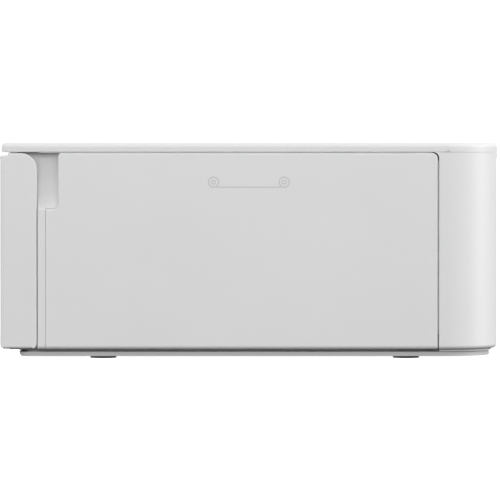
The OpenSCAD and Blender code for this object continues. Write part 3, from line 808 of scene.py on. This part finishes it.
@dataclass(frozen=True)
class Case:
    """The outer mouldings, their mark and what they stand on."""

    shells: tuple[CaseShell, ...] = (
        HousingShell("housing_shell", "chassis", (Rim(0.25, beside_door), Rim(0.3, at_scoop_foot))),
        CaseShell("top_plate", "chassis", (Rim(0.18, on_plate_foot),)),
        CoverShell("front_cover", "front_cover", (Rim(0.4, on_front), Rim(0.75, at_cover_foot))),
        DoorShell("ink_door", "ink_door", (Rim(0.45, on_door_rim),)),
        # the tray takes the darker plinth finish, painted shade under the case's overhang
        TrayShell("base_tray", "chassis", finish=SHADED_PLINTH),
        CaseShell("front_bezel", "chassis", finish=SOFT_GREY, slot="soft_grey", edge_mm=0.25),
    )
    ledge: tuple[Point, Point] = ((88.2, -56.0, 55.04), (90.9, 48.6, 55.24))

    def build(self) -> None:
        """Builds the shells, the skirt, the ledge over the door, the door's mark and the feet."""
        for shell in self.shells:
            shell.build()
        Skirt().build()
        finish_piece("top_ledge", block(*self.ledge, 0), "chassis", SHELL)
        DoorMark().build()
        Feet().build()


# ---------------------------------------------------------------- control panel
@dataclass(frozen=True)
class ControlPanel:
    """Keys, their signs and the screen."""

    keys: tuple[tuple[str, str], ...] = (
        ("power_button", "power_key"), ("menu_button", "menu_key"), ("back_button", "back_key"),
        ("ok_button", "ok_key"), ("four_way_pad", "pad_key"), ("print_button", "print_key"))
    sunk: float = 0.05
    lift: float = 0.02
    pad_reach: float = 9.6
    key_edge: float = 0.25
    glass_edge: float = 0.2
    screen: tuple[float, float, float, float] = (-53.0, 3.0, -38.0, 0.0)
    border: float = 0.4

    @property
    def base(self) -> float:
        """The height at which a sign starts, in millimetres."""
        return CASE_TOP - self.sunk

    @property
    def thick(self) -> float:
        """The thickness of a sign, in millimetres."""
        return self.sunk + self.lift

    def key(self, node: str, body: str) -> None:
        """Rounds one key's rim."""
        bm = cad_copy(node)
        round_edges(bm, self.key_edge * MM, 3)
        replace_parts(finish_piece(node + "_cap", bm, body, KEY_GREY), node)

    def sign(self, name: str, body: str, *parts: bmesh.types.BMesh) -> None:
        """Prints one sign on a key."""
        finish_piece(name, joined(parts), body, KEY_ICON)

    def bar(self, x: float, y: float, w: float, d: float) -> bmesh.types.BMesh:
        """One flat printed bar, in millimetres, centred on x and y."""
        z = self.base
        return block((x - w / 2, y - d / 2, z), (x + w / 2, y + d / 2, z + self.thick), 0)

    def arrow(self, x: float, y: float, turn_deg: float, size: float = 1.1) -> bmesh.types.BMesh:
        """One flat printed triangle that points along turn_deg."""
        turns = [math.radians(turn_deg + a) for a in (0, 125, 235)]
        tips = [(x + size * math.cos(a), y + size * math.sin(a)) for a in turns]
        return flat_outline(tips, self.base, self.thick)

    def signs(self) -> None:
        """Prints the sign of every key."""
        z, thick, reach = self.base, self.thick, self.pad_reach
        x, y, _ = middle("power_button")
        self.sign("power_sign", "power_key",
                  ring((x, y, z), 1.7, 1.35, thick, Axis.Z), self.bar(x, y + 1.6, 0.4, 1.6))
        x, y, _ = middle("menu_button")
        self.sign("menu_sign", "menu_key", *[self.bar(x, y + side, 3.2, 0.4) for side in (-1.1, 0, 1.1)])
        x, y, _ = middle("back_button")
        self.sign("back_sign", "back_key", self.arrow(x - 1.4, y, 180), self.bar(x + 0.4, y, 2.6, 0.45))
        x, y, _ = middle("four_way_pad")
        turns = (0, math.pi / 2, math.pi, -math.pi / 2)
        self.sign("pad_signs", "pad_key", *[
            self.arrow(x + reach * math.cos(a), y + reach * math.sin(a), math.degrees(a)) for a in turns])
        dot = ((0, 0), (1.1, 0), (1.1, thick), (0, thick))
        self.sign("ok_sign", "ok_key", turned(dot, (x, y, z), Axis.Z, 32))
        x, y, _ = middle("print_button")
        self.sign("print_sign", "print_key",
                  ring((x, y, z), 5.4, 5.0, thick, Axis.Z), self.bar(x, y, 4.4, 3.0))

    def window(self) -> None:
        """Builds the screen's cover and the border printed on it."""
        glass = cad_copy("screen_window")
        round_edges(glass, self.glass_edge * MM, 3)
        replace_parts(finish_piece("screen_cover", glass, "chassis", GLASS), "screen_window")
        x0, x1, y0, y1 = self.screen
        w, low, high = self.border, CASE_TOP - 0.1, CASE_TOP - 0.04
        edges = [block((x0 - w, y0 - w, low), (x1 + w, y0, high), 0),
                 block((x0 - w, y1, low), (x1 + w, y1 + w, high), 0),
                 block((x0 - w, y0, low), (x0, y1, high), 0),
                 block((x1, y0, low), (x1 + w, y1, high), 0)]
        finish_piece("screen_border", joined(edges), "chassis", DISPLAY)

    def build(self) -> None:
        """Builds the keys, their signs and the screen's cover."""
        for node, body in self.keys:
            self.key(node, body)
        self.signs()
        self.window()


# ---------------------------------------------------------------- inner parts
@dataclass(frozen=True)
class InnerPart:
    """An inner solid carried over with its edges broken."""

    node: str
    finish: Finish
    edge_mm: float = 0.1
    segments: int = 1

    def build(self) -> None:
        """Builds the piece in place of its solid."""
        bm = cad_copy(self.node)
        round_edges(bm, self.edge_mm * MM, self.segments)
        piece = finish_piece(self.node + "_part", bm, BODY_OF[self.node], self.finish)
        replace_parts(piece, self.node)


@dataclass(frozen=True)
class MotorEnd:
    """The moulded end cap of a small motor, with its two terminals."""

    name: str
    motor: str
    pinion: str
    radius: float
    turn: int = -1

    def build(self) -> None:
        """Builds the cap and the terminals on the back of the can, in line with the pinion."""
        r, s = self.radius, self.turn
        _, y, z = middle(self.pinion)
        low, high = node_box(self.motor)
        back = round(low.x if s < 0 else high.x, 2)
        cap = ((0, -0.3), (0, 0.55), (1.5, 0.55), (1.7, 0.35),
               (r * 0.72, 0.35), (r * 0.78, 0.2), (r * 0.8, -0.3))
        bm = turned([(a, s * b) for a, b in cap], (back, y, z), Axis.X, 40)
        finish_piece(self.name + "_cap", bm, "chassis", INNER_DARK)
        x0, x1 = sorted((back, back + s * 1.3))
        sides = (y - r * 0.45, y + r * 0.45)
        tabs = [block((x0, side - 0.8, z - 0.15), (x1, side + 0.8, z + 0.15), 0.05, 1) for side in sides]
        finish_piece(self.name + "_tabs", joined(tabs), "chassis", BRASS)


@dataclass(frozen=True)
class Chip:
    """One chip on the main board: its box and its rows of legs."""

    x0: float
    x1: float
    y0: float
    y1: float
    top: float
    skin: ClassVar[float] = 0.04
    leg_half: ClassVar[float] = 0.18
    leg_out: ClassVar[float] = 1.1
    leg_in: ClassVar[float] = 0.2

    def resin(self, z: float) -> bmesh.types.BMesh:
        """The chip's body, standing on a board at height z."""
        skin = self.skin
        low = (self.x0 - skin, self.y0 - skin, z)
        return block(low, (self.x1 + skin, self.y1 + skin, self.top + skin), 0.2)

    def legs(self, z: float) -> list[bmesh.types.BMesh]:
        """The flat legs on all four sides, on a board at height z."""
        out, half, low_z, high_z = [], self.leg_half, z - 0.05, z + 0.22
        for k in range(int(self.x1 - self.x0) - 1):
            x = self.x0 + 1 + k
            for low, high in self.spans(self.y0, self.y1):
                out.append(block((x - half, low, low_z), (x + half, high, high_z), 0))
        for k in range(int(self.y1 - self.y0) - 1):
            y = self.y0 + 1 + k
            for low, high in self.spans(self.x0, self.x1):
                out.append(block((low, y - half, low_z), (high, y + half, high_z), 0))
        return out

    def spans(self, low: float, high: float) -> tuple[tuple[float, float], tuple[float, float]]:
        """Where the legs on two opposite sides start and end."""
        return (low - self.leg_out, low + self.leg_in), (high - self.leg_in, high + self.leg_out)


@dataclass(frozen=True)
class Boards:
    """What is soldered on the two boards and in the card socket."""

    top: float = 51.8
    chips: tuple[Chip, ...] = (Chip(-40, -22, 20, 38, 54.0), Chip(-14, -4, 18, 32, 53.2))
    can: tuple[tuple[float, float], ...] = ((0, 0), (2.45, 0), (2.45, 0.7), (2.3, 0.9), (2.3, 1.05),
                                            (2.45, 1.25), (2.45, 2.45), (2.3, 2.64), (0, 2.64))
    cans: int = 3
    first_can: Point = (-66, 14, 51.8)
    can_step: float = 7
    connector: tuple[Point, Point] = ((-70.05, 39.95, 51.8), (-59.95, 50.05, 53.65))
    lid_half: float = 2.03
    lid_top: float = 52.33
    pad_switch: float = 10.0
    contacts: int = 8
    contact: tuple[Point, Point] = ((-86.5, 22.2, 50.02), (-80.0, 23.4, 50.12))
    contact_step: float = 2.5

    def main_board(self) -> None:
        """Builds the chips with their legs, the capacitors and the connector."""
        z = self.top
        resin = joined(chip.resin(z) for chip in self.chips)
        finish_piece("main_chips", resin, "chassis", CHIP)
        legs = [leg for chip in self.chips for leg in chip.legs(z)]
        finish_piece("main_chip_legs", joined(legs), "chassis", BRIGHT_STEEL)
        x, y, foot = self.first_can
        cans = [turned(self.can, (x + self.can_step * k, y, foot), Axis.Z, 40) for k in range(self.cans)]
        finish_piece("main_capacitors", joined(cans), "chassis", CAN)
        sleeve = block(*self.connector, 0.2)
        finish_piece("main_connector", sleeve, "chassis", GEAR_PLASTIC)

    def switches(self) -> None:
        """Builds the metal lid of each key's switch, with four under the four-way pad."""
        x, y, _ = middle("four_way_pad")
        step, half = self.pad_switch, self.lid_half
        keys = ("power_button", "menu_button", "back_button", "print_button", "ok_button")
        places = [middle(key)[:2] for key in keys]
        places += [(x + step, y), (x - step, y), (x, y + step), (x, y - step)]
        lids = [block((x - half, y - half, self.top), (x + half, y + half, self.lid_top), 0.1)
                for x, y in places]
        finish_piece("switch_lids", joined(lids), "chassis", SHEET_STEEL)

    def card_contacts(self) -> None:
        """Builds the row of sprung contacts in the card socket."""
        (x0, y0, z0), (x1, y1, z1) = self.contact
        steps = [self.contact_step * k for k in range(self.contacts)]
        gold = [block((x0, y0 + step, z0), (x1, y1 + step, z1), 0.03, 1) for step in steps]
        finish_piece("card_contacts", joined(gold), "chassis", GOLD)

    def build(self) -> None:
        """Builds chips, capacitors, connector, key switches and card contacts."""
        self.main_board()
        self.switches()
        self.card_contacts()


@dataclass(frozen=True)
class CaseScrews:
    """The four case screws, with rounded, cross-recessed heads."""

    places: tuple[tuple[float, float], ...] = ((-80, -48), (80, -48), (-79, 50), (79, 50))
    profile: tuple[tuple[float, float], ...] = ((0, 1.1), (1.9, 1.1), (2.3, 1.25), (2.5, 1.6), (2.5, 2.4),
                                                (1.2, 2.4), (1.2, 10.6), (0.8, 11), (0, 11))
    slot_long: float = 1.5
    slot_half: float = 0.3

    def screw(self, x: float, y: float) -> bmesh.types.BMesh:
        """One screw that stands on its head at x and y."""
        bm = turned(self.profile, (x, y, 0), Axis.Z, 40)
        for dx, dy in ((self.slot_long, self.slot_half), (self.slot_half, self.slot_long)):
            bm = merged(bm, block((x - dx, y - dy, 0.9), (x + dx, y + dy, 1.8), 0))
        return bm

    def build(self) -> None:
        """Builds the screws in place of their solids."""
        screws = joined([self.screw(x, y) for x, y in self.places])
        piece = finish_piece("case_screw_set", screws, "chassis", BRIGHT_STEEL)
        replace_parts(piece, "case_screws")


@dataclass(frozen=True)
class Inside:
    """Everything under the case: each node with its finish, its broken edge and the faces across it."""

    parts: tuple[InnerPart, ...] = tuple(InnerPart(*row) for row in (
        ("lcd_module", DISPLAY, 0.2), ("front_cover_pins", BRIGHT_STEEL), ("ink_door_pins", BRIGHT_STEEL),
        ("button_board", BOARD, 0.06), ("main_board", BOARD, 0.06), ("card_socket", SHEET_STEEL, 0.12),
        ("power_inlet", INNER_DARK, 0.15), ("chassis_frame", SHEET_STEEL), ("bay_liner", INNER_DARK, 0.2, 2),
        ("paper_guide", INNER_DARK, 0.15), ("ribbon_cassette_shell", CASSETTE, 0.2, 2),
        ("supply_spool", GEAR_PLASTIC, 0.12), ("supply_ribbon", FILM, 0.04),
        ("takeup_spool", GEAR_PLASTIC, 0.12), ("takeup_ribbon", FILM, 0.04),
        ("ribbon_web", FILM, 0.02), ("print_head", CERAMIC, 0.08),
        ("head_heat_sink", ALUMINIUM, 0.12), ("head_bracket", SHEET_STEEL),
        ("head_pivot_shaft", BRIGHT_STEEL, 0.2), ("head_sector", GEAR_PLASTIC, 0.08),
        ("head_lift_motor", CAN, 0.5, 3), ("head_lift_pinion", BRASS, 0.05),
        ("platen_shaft", BRIGHT_STEEL, 0.2), ("platen_rubber", ROLLER, 0.25, 2),
        ("capstan_roller", BRIGHT_STEEL, 0.2),
        ("capstan_gear", GEAR_PLASTIC, 0.08), ("pinch_roller", BRIGHT_STEEL, 0.2),
        ("reduction_gear", GEAR_PLASTIC, 0.06), ("feed_motor", CAN, 0.5, 3), ("feed_pinion", BRASS, 0.05),
        ("eject_shaft", BRIGHT_STEEL, 0.2), ("eject_rubbers", ROLLER, 0.25, 2),
        ("eject_gear", GEAR_PLASTIC, 0.08), ("eject_idler", GEAR_PLASTIC, 0.12),
        ("pickup_shaft", GEAR_PLASTIC, 0.08),
        ("pickup_rubber", ROLLER, 0.25, 2), ("pickup_motor", CAN, 0.4, 3), ("pickup_pinion", BRASS, 0.05),
        ("ribbon_motor", CAN, 0.5, 3), ("ribbon_pinion", BRASS, 0.05),
        ("takeup_drive_gear", GEAR_PLASTIC, 0.08), ("gear_bracket", SHEET_STEEL),
        ("fan_frame", INNER_DARK, 0.15), ("fan_rotor", INNER_DARK),
    ))
    ends: tuple[MotorEnd, ...] = (
        MotorEnd("feed_motor", "feed_motor", "feed_pinion", 10),
        MotorEnd("ribbon_motor", "ribbon_motor", "ribbon_pinion", 7.6),
        MotorEnd("lift_motor", "head_lift_motor", "head_lift_pinion", 5.5),
        MotorEnd("pickup_motor", "pickup_motor", "pickup_pinion", 6, 1),
    )
    pin_foot: Point = (68, 55, 13.5)
    pin: tuple[tuple[float, float], ...] = ((0, 0), (0.93, 0), (0.93, 9.1), (0.7, 9.45), (0, 9.52))

    def build(self) -> None:
        """Builds the inner solids, then what is added to them."""
        for part in (*self.parts, *self.ends, Boards(), CaseScrews()):
            part.build()
        pin = turned(self.pin, self.pin_foot, Axis.Y, 32)
        finish_piece("power_pin", pin, "chassis", BRIGHT_STEEL)


# ---------------------------------------------------------------- studio
@dataclass(frozen=True)
class SoftBox:
    """A rectangular soft light."""

    name: str
    place: Point
    aim: Point
    wide: float
    tall: float
    watts: float

    def hang(self) -> None:
        """Adds the light to the scene."""
        lamp = bpy.data.lights.new(self.name, "AREA")
        lamp.shape = "RECTANGLE"
        lamp.size, lamp.size_y = self.wide, self.tall
        lamp.energy = self.watts
        lamp_object = bpy.data.objects.new(self.name, lamp)
        lamp_object.location = self.place
        away = Vector(self.aim) - Vector(self.place)
        lamp_object.rotation_euler = away.to_track_quat("-Z", "Y").to_euler()
        lamp_object.visible_camera = False
        bpy.context.scene.collection.objects.link(lamp_object)


@dataclass(frozen=True)
class Studio:
    """White room, soft light and the camera at the machine's right side.

    Lengths are in metres, the lens and its sensor in millimetres. Each step of the sky is the upward part
    of a direction and the room's grey there.
    """

    lens: float = 324.67
    sensor: float = 36.0
    floor_half: float = 40.0
    room_strength: float = 1.02
    eye: Point = (1.2911, 0.000083, 0.055)
    aim: Point = (0.0911, 0.000083, 0.02914)
    sky: tuple[tuple[float, float], ...] = ((-0.06, 0.05), (-0.005, 1.0), (0.3, 1.0), (1.0, 0.6))
    boxes: tuple[SoftBox, ...] = (
        SoftBox("front_box", (0.5, 0.03, 0.17), (0.09, 0.0, 0.03), 0.5, 0.16, 0.605),
        SoftBox("rear_box", (0.25, 1.2, 0.35), (0.05, 0.0, 0.03), 0.5, 0.7, 8.2),
        SoftBox("left_box", (0.5, -0.9, 0.2), (0.09, -0.05, 0.03), 0.4, 0.5, 2.0),
    )

    def build(self) -> None:
        """Builds the floor, the room, the lights and the camera."""
        self.floor()
        self.room()
        for box in self.boxes:
            box.hang()
        self.camera()

    def floor(self) -> None:
        """Lays a large white floor that throws no light back on the machine."""
        bm = bmesh.new()
        bmesh.ops.create_grid(bm, x_segments=1, y_segments=1, size=self.floor_half)
        mesh = bpy.data.meshes.new("floor")
        bm.to_mesh(mesh)
        bm.free()
        floor = bpy.data.objects.new("floor", mesh)
        bpy.context.scene.collection.objects.link(floor)
        floor.visible_diffuse = floor.visible_glossy = floor.visible_shadow = False
        mesh.materials.append(FLOOR_PAPER.material())

    def room(self) -> None:
        """Lights the room white at eye level, softer overhead and dim underfoot."""
        world = bpy.data.worlds.new("room")
        world.use_nodes = True
        tree = world.node_tree
        back = tree.nodes["Background"]
        coords = tree.nodes.new("ShaderNodeTexCoord")
        split = tree.nodes.new("ShaderNodeSeparateXYZ")
        height = tree.nodes.new("ShaderNodeMapRange")
        height.inputs["From Min"].default_value = -1.0
        ramp = tree.nodes.new("ShaderNodeValToRGB")
        stops = ramp.color_ramp.elements
        while len(stops) < len(self.sky):
            stops.new(0.5)
        for stop, (up, grey) in zip(stops, self.sky):
            stop.position = (up + 1.0) / 2.0
            stop.color = (grey, grey, grey, 1.0)
        tree.links.new(coords.outputs["Generated"], split.inputs["Vector"])
        tree.links.new(split.outputs["Z"], height.inputs["Value"])
        tree.links.new(height.outputs["Result"], ramp.inputs["Fac"])
        tree.links.new(ramp.outputs["Color"], back.inputs["Color"])
        back.inputs["Strength"].default_value = self.room_strength
        bpy.context.scene.world = world

    def camera(self) -> None:
        """Stands the camera square to the machine's right side."""
        lens = bpy.data.cameras.new("camera")
        lens.lens = self.lens
        lens.sensor_width = self.sensor
        lens.clip_end = 100.0
        camera = bpy.data.objects.new("camera", lens)
        camera.location = self.eye
        camera.rotation_euler = (Vector(self.aim) - Vector(self.eye)).to_track_quat("-Z", "Y").to_euler()
        bpy.context.scene.collection.objects.link(camera)
        bpy.context.scene.camera = camera


def main() -> None:
    """Builds the sub-assemblies in order and sets the view transform."""
    Case().build()
    ControlPanel().build()
    Inside().build()
    Studio().build()
    bpy.context.scene.view_settings.view_transform = "Standard"


if __name__ == "__main__":
    main()
